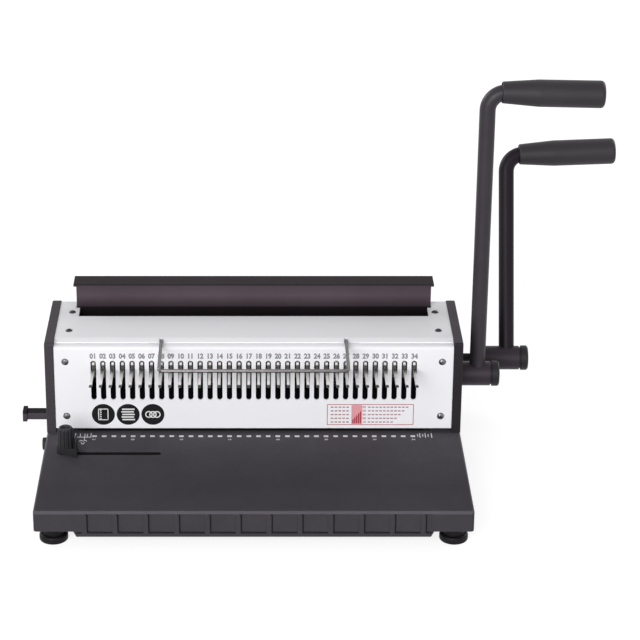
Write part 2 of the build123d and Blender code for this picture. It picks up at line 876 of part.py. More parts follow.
def tooth_half_angle(radius):
    """Half of a pinion tooth's angle at a radius, from the involute of its base circle."""
    base = pitch_radius * math.cos(math.radians(pressure_angle))
    at_pitch = math.radians(pressure_angle)
    flank = math.acos(min(1, base / radius))
    thickness = tooth_step / 2 - tooth_backlash / 2
    spread = math.tan(at_pitch) - at_pitch - math.tan(flank) + flank
    return thickness / (2 * pitch_radius) + spread


def make_pinion():
    """The right-hand pinion on the closing shaft, in mesh with its rack."""
    base = pitch_radius * math.cos(math.radians(pressure_angle))
    tip = pitch_radius + module
    root = pitch_radius - module * dedendum_share
    radii = [base + (tip - base) * step / flank_steps for step in range(flank_steps + 1)]
    right = [(radius * math.cos(tooth_half_angle(radius)), radius * math.sin(tooth_half_angle(radius)))
             for radius in radii]
    left = [(x, -y) for x, y in reversed(right)]
    inner_y = right[0][1]
    inner_x = root * root_inset_share
    tooth = make_face([
        Line((inner_x, inner_y), right[0]),
        Spline(*right),
        ThreePointArc(right[-1], (tip, 0), left[0]),
        Spline(*left),
        Line(left[-1], (inner_x, -inner_y)),
        Line((inner_x, -inner_y), (inner_x, inner_y)),
    ])
    outline = Circle(root) + [place * tooth for place in PolarLocations(0, tooth_count)]
    outline -= Circle(closing_shaft_radius + bore_gap)
    gear = extrude(Plane.YZ * outline, rack_width, dir=(1, 0, 0))
    half_tooth = math.degrees(math.pi / tooth_count)
    return Pos(rack_inner_x, closing_shaft_y, closing_shaft_z) * Rot(half_tooth, 0, 0) * gear


def make_rack():
    """The right-hand rack, with the lug that carries the closing bar's web."""
    rack_top = top_z - rack_top_drop
    low = rack_low
    points = [(rack_back_y, low), (rack_root_y, low)]
    slope = math.tan(math.radians(pressure_angle))
    for number in range(rack_teeth):
        middle = low + tooth_step * (number + 1 / 2)
        half = tooth_step / 4 - tooth_backlash / 4
        wide = half + (rack_pitch_y - rack_root_y) * slope
        thin = half - rack_addendum * slope
        points += [
            (rack_root_y, middle - wide),
            (rack_tip_y, middle - thin),
            (rack_tip_y, middle + thin),
            (rack_root_y, middle + wide),
        ]
    points += [(rack_root_y, rack_top), (rack_back_y, rack_top)]
    face = Plane.YZ.offset(rack_inner_x) * make_face(Polyline(*points, close=True))
    rack = extrude(face, rack_width, dir=(1, 0, 0))
    lug_x = (lug_inner_x, rack_outer_x)
    lug_y = (rack_back_y, panel_y + web_back)
    return rack + block(lug_x, lug_y, (rack_top - lug_height, rack_top))


def make_closing_bar():
    """The folded steel bar that presses the wire shut: an upright web and a flange to the rear."""
    bar_top = top_z + bar_rise
    web_y = (panel_y + web_back, panel_y + web_back + web_thickness)
    web_bottom = top_z - rack_top_drop - lug_height
    bar = block((-web_half_width, web_half_width), web_y, (web_bottom, bar_top))
    flange_y = (web_y[0], web_y[0] + closing_flange_depth)
    flange_z = (bar_top - web_thickness, bar_top)
    bar += block((-flange_half_width, flange_half_width), flange_y, flange_z)
    front_edges = bar.edges().filter_by(Axis.X).group_by(Axis.Z)[-1].sort_by(Axis.Y)[0]
    return fillet(front_edges, web_edge_radius)


def make_rack_guide():
    """The right-hand guide that keeps the rack against its pinion."""
    guide_y = (panel_y + rack_guide_front, rack_back_y - slide_gap)
    low = rack_low - closing_stroke
    high = top_under - bracket_depth - slide_gap
    guide = block((rack_inner_x, frame_inner_x), guide_y, (low, high))
    wall_y = (guide_y[0], panel_y + web_back)
    wall_z = (closing_shaft_z + pitch_radius * 2, high)
    return guide + block((rack_outer_x + slide_gap, frame_inner_x), wall_y, wall_z)


def make_anvil():
    """The bar behind the web that the wire's spine rests on."""
    y = (panel_y + web_back + 2 * web_thickness, panel_y + anvil_back)
    top = top_z - anvil_sink
    low = top - anvil_height
    main = block((-web_half_width, web_half_width), y, (low, top))
    return main + block((-frame_inner_x, frame_inner_x), y, (low, low + anvil_end_height))


def make_fingers():
    """The bent steel fingers that carry the open wire in front of the panel."""
    crown = top_z - finger_crown_drop
    level = top_z - finger_drop
    points = [
        (panel_y + finger_back, top_z - finger_foot_drop),
        (panel_y + finger_back, crown),
        (panel_y + finger_crown_back, crown),
        (panel_y - finger_neck, level),
        (panel_y - finger_reach, level),
        (panel_y - finger_reach - finger_tip_reach, level + finger_tip_rise),
    ]
    one = bent_sheet(points, finger_bend, finger_thickness, (-finger_width / 2, finger_width / 2))
    return Compound(children=[Pos(x, 0, 0) * one for x in slot_places])


def make_finger_rail():
    """The bar across the frame that the fingers are fixed to."""
    front = panel_y + finger_back + finger_thickness / 2
    low = top_z - finger_foot_drop
    return block((-frame_inner_x, frame_inner_x), (front, front + rail_depth), (low, low + rail_height))


def make_bail():
    """The wire bail: two arms from pintles under the top cover to a cross bar in front."""
    outer = bail_x + pintle_length
    front = panel_y - bail_reach
    points = [
        (-outer, bail_pivot_y, bail_pivot_z),
        (-bail_x, bail_pivot_y, bail_pivot_z),
        (-bail_x, bail_pivot_y, bail_z),
        (-bail_x, front, bail_z),
        (bail_x, front, bail_z),
        (bail_x, bail_pivot_y, bail_z),
        (bail_x, bail_pivot_y, bail_pivot_z),
        (outer, bail_pivot_y, bail_pivot_z),
    ]
    corners = [bail_bend, bail_bend, bail_corner, bail_corner, bail_bend, bail_bend]
    path = FilletPolyline(*points, radius=corners)
    ring = Plane(origin=path @ 0, z_dir=path % 0) * Circle(bail_radius)
    return sweep(ring, path=path)


def make_bail_saddles():
    """The two blocks behind the panel whose grooves carry the bail's pintles."""
    outer = bail_x + pintle_length
    x = (outer - saddle_width, outer)
    bottom = bail_pivot_z - saddle_height
    step = bottom + saddle_height / 2
    feet = both_sides(x, (panel_y + sheet, panel_y + sheet + saddle_depth), (bottom, step))
    heads = both_sides(x, (panel_y + panel_bend, panel_y + sheet + saddle_depth), (bottom, bail_pivot_z))
    blocks = [foot + head for foot, head in zip(feet, heads)]
    span = (-outer - cut_over, outer + cut_over)
    groove = round_x(span, bail_pivot_y, bail_pivot_z, bail_radius + bore_gap)
    return Compound(children=[one - groove for one in blocks])


def make_side_guide():
    """The sliding side guide: a foot on the deck and an upright fence."""
    low = deck_z + sheet_gap
    left = side_guide_x - guide_foot_left
    right = side_guide_x + fence_offset + fence_thickness
    front = guide_knob_y - guide_foot_depth / 2
    back = guide_knob_y + guide_foot_depth / 2
    plan = [(left, front + guide_foot_slant), (right, front), (right, back), (left, back)]
    foot = Plane.XY.offset(low) * make_face(Polyline(*plan, close=True))
    guide = extrude(foot, guide_foot_height, dir=(0, 0, 1))
    guide += block((right - fence_thickness, right), (front, front + fence_depth), (low, low + fence_height))
    return guide - round_z(side_guide_x, guide_knob_y, (0, top_z), guide_stud_radius + bore_gap)


def make_guide_knob():
    """The fluted clamp knob with the stud that goes down through the deck."""
    seat = deck_z + sheet_gap + guide_foot_height
    length = guide_knob_height
    points = [
        (0, 0),
        (guide_knob_radius, 0),
        (guide_knob_top_radius, length - guide_knob_bevel),
        (guide_knob_ring_radius, length),
        (guide_knob_ring_radius * knob_rim_share, length),
        (guide_knob_ring_radius * knob_dish_share, length - guide_knob_dish),
        (0, length - guide_knob_dish),
    ]
    narrowing = guide_knob_radius - guide_knob_top_radius
    flute_circle = guide_knob_radius - narrowing / 2 + guide_flute_radius - guide_flute_depth
    lean = math.degrees(math.atan(narrowing / length))
    knob = fluted(turned(points), flute_circle, guide_knob_flutes, guide_flute_radius, length, lean)
    stud_bottom = deck_z - base_wall - slide_gap - clamp_thickness
    stud = round_z(side_guide_x, guide_knob_y, (stud_bottom, seat + bore_gap), guide_stud_radius)
    return Pos(side_guide_x, guide_knob_y, seat + bore_gap) * knob + stud


def make_guide_clamp():
    """The nut plate under the deck that the knob's stud screws into."""
    half = clamp_size / 2
    top = deck_z - base_wall - slide_gap
    x = (side_guide_x - half, side_guide_x + half)
    plate = block(x, (guide_knob_y - half, guide_knob_y + half), (top - clamp_thickness, top))
    return plate - round_z(side_guide_x, guide_knob_y, (0, deck_z), guide_stud_radius + bore_gap)


def make_margin_knob():
    """The small knurled knob on the left of the base that sets the margin."""
    blank = Pos(0, 0, margin_knob_length / 2) * Cylinder(margin_knob_radius, margin_knob_length)
    rim = fillet(blank.faces().sort_by(Axis.Z)[-1].edges(), margin_knob_length / 4)
    knob = fluted(rim, margin_knob_radius, margin_knob_flutes, margin_flute_radius, margin_knob_length)
    place = Pos(-half_width - slide_gap, margin_y, margin_z) * Rot(0, -quarter_turn, 0)
    return place * knob


def make_margin_spindle():
    """The knob's spindle, with a disc and a crank pin that moves the paper stop."""
    disc_x = -link_outer_x - slide_gap
    pin_end = -link_outer_x + link_width
    spindle = round_x((-half_width - slide_gap, disc_x), margin_y, margin_z, margin_spindle_radius)
    spindle += round_x((disc_x - margin_disc_thickness, disc_x), margin_y, margin_z, margin_disc_radius)
    return spindle + round_x((disc_x, pin_end), margin_y, margin_z + margin_crank, margin_pin_radius)


def make_back_stop():
    """The paper stop behind the pins, and the link that joins it to the margin spindle."""
    strip_z = (deck_z + slide_gap, deck_z + slide_gap + stop_thickness)
    back = stop_y + stop_depth
    stop = block((-stop_half_width, stop_half_width), (stop_y, back), strip_z)
    leg_y = (back - link_leg_depth, back)
    stop += block((-link_outer_x, 0), leg_y, strip_z)
    link_x = (-link_outer_x, -link_outer_x + link_width)
    link_top = deck_z - base_wall - slide_gap
    link_bottom = link_top - link_height
    stop += block(link_x, leg_y, (link_bottom, strip_z[1]))
    tab_y = (margin_y - link_tab_width / 2, margin_y + link_tab_width / 2)
    stop += block(link_x, (tab_y[0], back), (link_bottom, link_top))
    stop += block(link_x, tab_y, (link_top - link_tab_height, link_top))
    pin_z = margin_z + margin_crank
    hole = margin_pin_radius + pin_clearance
    drop = margin_crank * (1 - math.cos(math.radians(margin_turn)))
    stop -= round_x(link_x, margin_y, pin_z, hole)
    stop -= block(link_x, (margin_y - hole, margin_y + hole), (pin_z - drop, pin_z))
    return stop - round_x(link_x, margin_y, pin_z - drop, hole)


def make_chip_tray():
    """The drawer under the die that catches the paper chips."""
    x = (-half_width, -half_width + tray_length)
    z = (tray_z, tray_z + tray_height)
    tray = block(x, tray_y, z)
    inner_x = (x[0] + tray_wall, x[1] - tray_wall)
    inner_y = (tray_y[0] + tray_wall, tray_y[1] - tray_wall)
    return tray - block(inner_x, inner_y, (z[0] + tray_wall, z[1] + cut_over))


def make_tray_pull():
    """The flanged bar that the tray is pulled out by."""
    half = pull_depth / 2
    y = (panel_y + pull_back - half, panel_y + pull_back + half)
    top = tray_z + tray_height + pull_rise
    z = (top - pull_height, top)
    end = -half_width - pull_length
    bar = block((end, -half_width), y, z)
    base = -half_width - slide_gap
    for x, proud in (((end, end + pull_flange_thickness), pull_flange),
                     ((base - pull_collar_thickness, base), pull_collar)):
        rim = block(x, (y[0] - proud, y[1] + proud), (z[0] - proud, z[1] + proud))
        bar += fillet(rim.edges().filter_by(Axis.X), proud)
    return bar


def upright(y, z, lean):
    """The place of a handle whose hub is at y and z and whose arm leans back."""
    return Pos(0, y, z) * Rot(-lean, 0, 0)


def make_hub(start, end, arm_x, bore):
    """A handle hub: a turned boss, bored for its shaft and cross-bored for its arm."""
    hub = round_x((start, end), 0, 0, hub_radius)
    hub = fillet(hub.edges(), hub_edge_radius)
    hub -= round_x((start - cut_over, start + shaft_in_hub + bore_gap), 0, 0, bore + bore_gap)
    return hub - round_z(arm_x, 0, (-arm_radius, hub_radius + cut_over), arm_radius + bore_gap)


def make_arm(arm_x, length, rise):
    """A bent round arm: up from the hub, round a bend and out along the grip."""
    reach = grip_standoff + grip_length - grip_wall
    turn = math.radians(rise)
    end = (arm_x + reach * math.cos(turn), 0, length + reach * math.sin(turn))
    path = FilletPolyline((arm_x, 0, -arm_radius), (arm_x, 0, length), end, radius=arm_bend)
    ring = Plane(origin=path @ 0, z_dir=path % 0) * Circle(arm_radius)
    return sweep(ring, path=path)


def make_grip(arm_x, length, rise):
    """The hand grip pushed over the end of an arm, with a wider mouth where the bend runs in."""
    points = [
        (0, 0),
        (grip_neck_radius, 0),
        (grip_body_radius, grip_swell),
        (grip_end_radius, grip_length),
        (0, grip_length),
    ]
    outline = FilletPolyline(*points, radius=[0, grip_neck_edge, grip_swell, grip_edge, 0], close=True)
    grip = revolve(Plane.XZ * make_face(outline), Axis.Z)
    grip -= Cylinder(arm_radius + bore_gap, 2 * (grip_length - grip_wall + bore_gap))
    grip -= Cylinder(grip_mouth_radius, 2 * grip_mouth_depth)
    return Pos(arm_x, 0, length) * Rot(0, quarter_turn - rise, 0) * Pos(0, 0, grip_standoff) * grip


def make_hub_cap(start):
    """The domed cap on the outer end of a hub, with a groove next to the hub."""
    shoulder = cap_length - cap_dome
    points = [
        (0, 0),
        (cap_neck_radius, 0),
        (cap_neck_radius, cap_neck_length),
        (cap_radius, cap_neck_length),
        (cap_radius, shoulder - cap_chamfer),
        (cap_radius - cap_chamfer, shoulder),
        (0, cap_length),
    ]
    return Pos(start, 0, 0) * Rot(0, quarter_turn, 0) * turned(points)


punch_place = upright(punch_shaft_y, punch_shaft_z, 0)
closing_place = upright(closing_shaft_y, closing_shaft_z, closing_lean_angle)
punch_hub = make_hub(punch_hub_start, punch_hub_end, punch_arm_x, punch_shaft_radius)
closing_hub = make_hub(closing_hub_start, closing_hub_end, closing_arm_x, closing_journal_radius)
punch_shaft_end = punch_hub_start + shaft_in_hub

parts = {
    "deck_base": make_deck_base(),
    "bottom_plate": make_bottom_plate(),
    "foot_screws": make_foot_screws(),
    "side_cover_left": mirrored(make_side_cover()),
    "side_cover_right": make_right_side_cover(),
    "frame_plate_left": mirrored(make_frame_plate()),
    "frame_plate_right": make_frame_plate(),
    "front_panel": make_front_panel(),
    "top_cover": make_top_cover(),
    "rear_cover": make_rear_cover(),
    "cover_screws": make_cover_screws(),
    "cover_brackets": make_cover_brackets(),
    "die_block": make_die_block(),
    "punch_guide": make_punch_guide(),
    "punch_beam": make_punch_beam(),
    "pin_retainer": make_pin_retainer(),
    "punch_pins": make_punch_pins(),
    "guide_column_left": make_guide_column(-column_x),
    "guide_column_right": make_guide_column(column_x),
    "return_spring_left": make_return_spring(-column_x),
    "return_spring_right": make_return_spring(column_x),
    "punch_shaft": make_shaft(punch_shaft_y, punch_shaft_z, punch_shaft_radius, punch_shaft_end),
    "punch_cam_left": make_punch_cam(-cam_x),
    "punch_cam_right": make_punch_cam(cam_x),
    "punch_bushes": make_bushes(punch_shaft_y, punch_shaft_z, punch_shaft_radius),
    "punch_hub": punch_place * punch_hub,
    "punch_arm": punch_place * make_arm(punch_arm_x, punch_handle_length, -punch_grip_fall_angle),
    "punch_grip": punch_place * make_grip(punch_arm_x, punch_handle_length, -punch_grip_fall_angle),
    "punch_hub_cap": punch_place * make_hub_cap(punch_hub_end),
    "closing_shaft": make_closing_shaft(),
    "closing_pinion_left": mirrored(make_pinion()),
    "closing_pinion_right": make_pinion(),
    "closing_bushes": make_bushes(closing_shaft_y, closing_shaft_z, closing_shaft_radius),
    "closing_rack_left": mirrored(make_rack()),
    "closing_rack_right": make_rack(),
    "closing_bar": make_closing_bar(),
    "rack_guide_left": mirrored(make_rack_guide()),
    "rack_guide_right": make_rack_guide(),
    "wire_anvil": make_anvil(),
    "closing_hub": closing_place * closing_hub,
    "closing_arm": closing_place * make_arm(closing_arm_x, closing_handle_length, closing_grip_rise_angle),
    "closing_grip": closing_place * make_grip(closing_arm_x, closing_handle_length, closing_grip_rise_angle),
    "closing_hub_cap": closing_place * make_hub_cap(closing_hub_end),
    "wire_fingers": make_fingers(),
    "finger_rail": make_finger_rail(),
    "wire_bail": make_bail(),
    "bail_saddles": make_bail_saddles(),
    "side_guide": make_side_guide(),
    "guide_knob": make_guide_knob(),
    "guide_clamp": make_guide_clamp(),
    "margin_knob": make_margin_knob(),
    "margin_spindle": make_margin_spindle(),
    "back_stop": make_back_stop(),
    "chip_tray": make_chip_tray(),
    "tray_pull": make_tray_pull(),
}
for name, (x, y) in foot_places().items():
    parts[f"foot_{name}"] = make_foot(x, y)

os.makedirs("parts", exist_ok=True)
for name, shape in parts.items():
    export_step(shape, f"parts/{name}.step")
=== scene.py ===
import json
import math

import bmesh
import bpy
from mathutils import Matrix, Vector


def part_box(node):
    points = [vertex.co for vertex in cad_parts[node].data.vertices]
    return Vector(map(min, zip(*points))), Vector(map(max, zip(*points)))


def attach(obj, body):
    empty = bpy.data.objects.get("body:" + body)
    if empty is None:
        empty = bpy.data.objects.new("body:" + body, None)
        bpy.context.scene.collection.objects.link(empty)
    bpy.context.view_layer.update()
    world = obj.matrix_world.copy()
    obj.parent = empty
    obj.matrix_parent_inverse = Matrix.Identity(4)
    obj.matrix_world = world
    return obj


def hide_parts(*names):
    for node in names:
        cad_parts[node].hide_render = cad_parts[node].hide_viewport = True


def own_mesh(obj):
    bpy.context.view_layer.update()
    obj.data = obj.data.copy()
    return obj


# The looks of a wire binding machine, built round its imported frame. Lengths are metres.
# X runs across the machine, -Y faces the user and Z is up.
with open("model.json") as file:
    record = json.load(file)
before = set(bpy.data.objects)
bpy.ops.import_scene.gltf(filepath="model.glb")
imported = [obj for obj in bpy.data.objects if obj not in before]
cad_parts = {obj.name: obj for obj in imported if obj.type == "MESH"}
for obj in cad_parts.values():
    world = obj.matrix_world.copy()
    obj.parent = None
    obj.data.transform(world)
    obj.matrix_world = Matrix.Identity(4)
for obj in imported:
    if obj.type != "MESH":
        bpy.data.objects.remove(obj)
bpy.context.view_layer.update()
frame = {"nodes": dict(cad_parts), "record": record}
nodes = frame["nodes"]
slots = {part["node"]: part["material_slot"] for part in frame["record"]["subparts"]}
bodies = frame["record"]["behaviour"]["bodies"]
body_of_node = {member: body for body, members in bodies.items() for member in members}

mm = 0.001

# Places read from the frame
deck_low, deck_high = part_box("deck_base")
deck_z = deck_high.z
panel_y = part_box("front_panel")[0].y
top_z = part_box("top_cover")[1].z
finger_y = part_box("wire_fingers")[0].y
pull_low, pull_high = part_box("tray_pull")
side_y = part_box("side_cover_right")[0].y

# The row of slots, three to the inch, and the row of marks on the deck in front of it
slot_count = 34
slot_pitch = 25.4 * mm / 3
first_slot_x = -slot_pitch * (slot_count - 1) / 2
slot_places = [first_slot_x + slot_pitch * index for index in range(slot_count)]
mark_y = panel_y - 7.6 * mm

# Camera, worked out from the vanishing points of the base and of the body
camera_place = (0.0, -1.8463, 0.9321)
camera_down = 23.076
camera_lens = 131.46
camera_shift = 0.1036

# Each light's place, size and power, and the point that all of them face
light_target = (0.0, 0.0, 0.10)
lights = {
    "key": ((-0.85, -2.75, 1.18), 1.8, 77.0),
    "fill": ((1.9, -2.0, 0.85), 1.6, 6.5),
    "rear_left": ((-2.2, 1.9, 1.4), 1.4, 25.0),
    "rear_right": ((2.2, 1.9, 1.4), 1.4, 25.0),
}

# How strongly the surroundings shine on the object, and how they look to the camera
world_light = 0.32
world_seen = 1.0

# The floor as a bounce of light, and as the camera sees it: a shadow over a white glow
floor_half = 6.0
floor_bounce = 0.55
floor_seen = 0.36
floor_glow = 0.80

# Dressed pieces: the angles in degrees at which edges are dropped, rounded and shaded sharp
flat_below = 0.6
bevelled_above = 30.0
smooth_below = 32.0
bevel_segments = 2
weld_distance = 0.002 * mm

# Where the noise of a finish is read as its darkest and its lightest
tone_span = (0.3, 0.7)
fleck_span = (0.35, 0.65)

# Prints are thin solids. One that lies over another is lifted further.
print_thickness = 0.04 * mm
print_lift = 0.03 * mm
deck_over_lift = 0.07 * mm
panel_over_lift = 0.08 * mm
thin_bold = 0.05 * mm

# Paints and other colours, as linear values
white_enamel = (0.87, 0.87, 0.90)
black_powder = (0.044, 0.038, 0.045)
black_moulding = (0.047, 0.043, 0.051)
dark_enamel = (0.062, 0.046, 0.056)
hub_paint = (0.024, 0.016, 0.025)
# The two handle arms share one black paint: the rear arm's copy is darker, which is painted shade
front_arm_paint = (0.031, 0.026, 0.033)
rear_arm_shaded_paint = (0.010, 0.006, 0.011)
grip_plastic = (0.026, 0.022, 0.027)
cap_plastic = (0.013, 0.010, 0.014)
plated_steel = (0.62, 0.60, 0.58)
bail_plate = (0.17, 0.16, 0.16)
zinc = (0.17, 0.17, 0.18)
blackened_steel = (0.012, 0.011, 0.013)
spring_wire = (0.20, 0.20, 0.21)
bronze = (0.48, 0.31, 0.14)
rubber_black = (0.007, 0.006, 0.008)
knob_plastic = (0.016, 0.015, 0.018)
ink_colours = {
    "grey": (0.25, 0.25, 0.27),
    "white": (0.78, 0.78, 0.78),
    "black": (0.006, 0.006, 0.007),
    "red": (0.38, 0.03, 0.05),
    "pink": (0.75, 0.33, 0.36),
    "rust": (0.36, 0.16, 0.17),
}


def add_node(tree, kind, operation=None, **inputs):
    """A shader node with its operation and the values given for its sockets."""
    node = tree.nodes.new(kind)
    if operation:
        node.operation = operation
    for name, value in inputs.items():
        node.inputs[name].default_value = value
    return node


def remapped(tree, value, from_min=0.0, from_max=1.0, to_min=0.0, to_max=1.0):
    """A value moved from one range into another."""
    limits = {"From Min": from_min, "From Max": from_max, "To Min": to_min, "To Max": to_max}
    node = add_node(tree, "ShaderNodeMapRange", **limits)
    tree.links.new(value, node.inputs["Value"])
    return node.outputs["Result"]


def chained(tree, operation, values):
    """Several values folded into one by a math operation."""
    result = values[0]
    for value in values[1:]:
        both = add_node(tree, "ShaderNodeMath", operation)
        tree.links.new(result, both.inputs[0])
        tree.links.new(value, both.inputs[1])
        result = both.outputs[0]
    return result


def multiplied(tree, colour, factor):
    """A colour times a factor."""
    product = add_node(tree, "ShaderNodeVectorMath", "MULTIPLY")
    tree.links.new(colour, product.inputs[0])
    tree.links.new(factor, product.inputs[1])
    return product.outputs["Vector"]


def mixed(tree, share, first, second):
    """The first shader where the share is 0, and the second where it is 1."""
    mix = add_node(tree, "ShaderNodeMixShader")
    for value, socket in zip((share, first, second), mix.inputs):
        tree.links.new(value, socket)
    return mix.outputs[0]


def seen_directly(tree):
    """1 for the camera's rays, reflected and refracted ones too, and 0 for the rays that only light."""
    path = add_node(tree, "ShaderNodeLightPath")
    kinds = ("Is Camera Ray", "Is Glossy Ray", "Is Transmission Ray")
    return chained(tree, "MAXIMUM", [path.outputs[kind] for kind in kinds])


def banded(tree, place, base, axis, stops):
    """The base colour times a factor that changes along one axis of the piece."""
    low, high = stops[0][0], stops[-1][0]
    parts = add_node(tree, "ShaderNodeSeparateXYZ")
    tree.links.new(place, parts.inputs[0])
    ramp = add_node(tree, "ShaderNodeValToRGB")
    elements = ramp.color_ramp.elements
    while len(elements) < len(stops):
        elements.new(0.5)
    for element, (where, factor) in zip(elements, stops):
        element.position = (where - low) / (high - low)
        element.color = (factor, factor, factor, 1)
    tree.links.new(remapped(tree, parts.outputs[axis], low, high), ramp.inputs["Fac"])
    return multiplied(tree, base, ramp.outputs["Color"])


def shaded_hollow(tree, place, base, half_width, front, top, factor):
    """The base colour, darkened in the hollow behind a front, below a top and between two sides."""
    parts = add_node(tree, "ShaderNodeSeparateXYZ")
    tree.links.new(place, parts.inputs[0])
    sideways = add_node(tree, "ShaderNodeMath", "ABSOLUTE")
    tree.links.new(parts.outputs["X"], sideways.inputs[0])
    tests = []
    for value, operation, limit in ((sideways.outputs[0], "LESS_THAN", half_width),
                                    (parts.outputs["Y"], "GREATER_THAN", front),
                                    (parts.outputs["Z"], "LESS_THAN", top)):
        test = add_node(tree, "ShaderNodeMath", operation)
        test.inputs[1].default_value = limit
        tree.links.new(value, test.inputs[0])
        tests.append(test.outputs[0])
    inside = chained(tree, "MULTIPLY", tests)
    return multiplied(tree, base, remapped(tree, inside, to_min=1.0, to_max=factor))


def surface(name, colour, roughness, metallic=0.0, grain=900.0, bump=0.15, depth=0.02 * mm,
            stretch=(1.0, 1.0, 1.0), shade=0.12, shade_scale=35.0, gloss_change=0.08, specular=0.5,
            speckle=0.0, bands=(), hollow=None):
    """A finish with its own grain: uneven tone, uneven gloss and a fine relief.

    Each band darkens or lightens it along one axis of the piece as painted light and shade: the axis and
    pairs of place and factor. The hollow darkens a box inside the piece as painted shade."""
    made = bpy.data.materials.new(name)
    made.use_nodes = True
    tree = made.node_tree
    shader = tree.nodes["Principled BSDF"]
    shader.inputs["Metallic"].default_value = metallic
    shader.inputs["Specular IOR Level"].default_value = specular
    place = add_node(tree, "ShaderNodeTexCoord").outputs["Object"]
    scaled = add_node(tree, "ShaderNodeMapping", Scale=stretch)
    tree.links.new(place, scaled.inputs["Vector"])

    broad = add_node(tree, "ShaderNodeTexNoise", Scale=shade_scale, Detail=3.0, Roughness=0.55)
    fine = add_node(tree, "ShaderNodeTexNoise", Scale=grain, Detail=4.0, Roughness=0.6)
    tree.links.new(place, broad.inputs["Vector"])
    tree.links.new(scaled.outputs["Vector"], fine.inputs["Vector"])

    tone = add_node(tree, "ShaderNodeValToRGB")
    for element, where, change in zip(tone.color_ramp.elements, tone_span, (1 - shade, 1 + shade)):
        element.position = where
        element.color = (*(min(1.0, part * change) for part in colour), 1)
    tree.links.new(broad.outputs["Fac"], tone.inputs["Fac"])
    base = tone.outputs["Color"]
    if speckle:
        fleck = remapped(tree, fine.outputs["Fac"], *fleck_span, 1 - speckle, 1 + speckle)
        base = multiplied(tree, base, fleck)
    for band in bands:
        base = banded(tree, place, base, *band)
    if hollow:
        base = shaded_hollow(tree, place, base, *hollow)
    tree.links.new(base, shader.inputs["Base Color"])

    smoothest = max(0.02, roughness - gloss_change)
    roughest = min(1.0, roughness + gloss_change)
    gloss = remapped(tree, fine.outputs["Fac"], to_min=smoothest, to_max=roughest)
    tree.links.new(gloss, shader.inputs["Roughness"])

    relief = add_node(tree, "ShaderNodeBump", Strength=bump, Distance=depth)
    tree.links.new(fine.outputs["Fac"], relief.inputs["Height"])
    tree.links.new(relief.outputs["Normal"], shader.inputs["Normal"])
    return made


# Where painted light and shade change a finish along a piece
# The closing bar's web: painted shade below the top cover and at the flange's top, and a painted highlight
# across its middle
web_shade_and_highlight_bands = ("Z", [(top_z - 3 * mm, 0.12), (top_z + 0.5 * mm, 0.14), (top_z + 1.5 * mm, 0.62),
                   (top_z + 12 * mm, 1.45), (top_z + 20.5 * mm, 1.1), (top_z + 21.8 * mm, 0.35)])
# The deck: a painted highlight along its rounded front edge
deck_edge_highlight_bands = ("Z", [(deck_z - 3.4 * mm, 1.04), (deck_z - 2.0 * mm, 2.0), (deck_z - 0.3 * mm, 2.0),
                    (deck_z - 0.05 * mm, 1.0)])
# The deck: lighter towards the front panel, a painted reflection of the white panel
deck_panel_reflection_bands = ("Y", [(panel_y - 105 * mm, 1.0), (panel_y - 60 * mm, 1.32), (panel_y - 8 * mm, 1.75),
                    (panel_y + 4 * mm, 1.75), (panel_y + 20 * mm, 1.0)])
# The fingers: painted shade at the tip, on the neck and behind the panel, and painted highlights along the
# shank and on the head
finger_shade_and_highlight_bands = ("Y", [(finger_y + 1.5 * mm, 0.05), (finger_y + 5.5 * mm, 0.10), (finger_y + 7.5 * mm, 1.4),
                      (panel_y - 14.0 * mm, 1.1), (panel_y - 6.0 * mm, 0.6), (panel_y - 2.4 * mm, 0.14),
                      (panel_y - 0.6 * mm, 0.14), (panel_y + 0.3 * mm, 1.3), (panel_y + 4.5 * mm, 1.5),
                      (panel_y + 6.0 * mm, 0.3)])
# The tray pull: a painted highlight over its face and painted shade in a strip under its top edge
pull_highlight_and_shade_bands = ("Z", [(pull_low.z, 1.4), (pull_high.z - 2.6 * mm, 1.75), (pull_high.z - 2.1 * mm, 0.34),
                    (pull_high.z, 0.5)])
# The screws on the top cover: darker, painted shade and a painted dark reflection
top_screw_shade_bands = ("Z", [(top_z - 1.0 * mm, 1.0), (top_z, 0.3)])
# The right side cover: painted shade along its front edge, and lighter behind it
side_cover_shade_bands = ("Y", [(side_y + 1.0 * mm, 0.45), (side_y + 2.5 * mm, 1.35)])
# The inside of the base, out of the light: half its width, its front, its top and its share of the colour
base_hollow = (deck_high.x - 3.2 * mm, deck_low.y + 6 * mm, deck_z - 0.25 * mm, 0.08)

# What finishes of one kind share
moulding = {"roughness": 0.72, "grain": 1400.0, "bump": 0.5, "depth": 0.05 * mm, "shade": 0.06,
            "speckle": 0.10, "specular": 0.09}
powder_coat = {"roughness": 0.6, "grain": 1100.0, "bump": 0.25, "shade": 0.06}
handle_coat = {"roughness": 0.42, "grain": 1000.0, "bump": 0.25, "shade": 0.08}
grip_moulding = {"roughness": 0.5, "grain": 1700.0, "bump": 0.35, "depth": 0.03 * mm, "shade": 0.07}
black_oxide = {"roughness": 0.6, "metallic": 0.2, "bump": 0.15, "specular": 0.2}

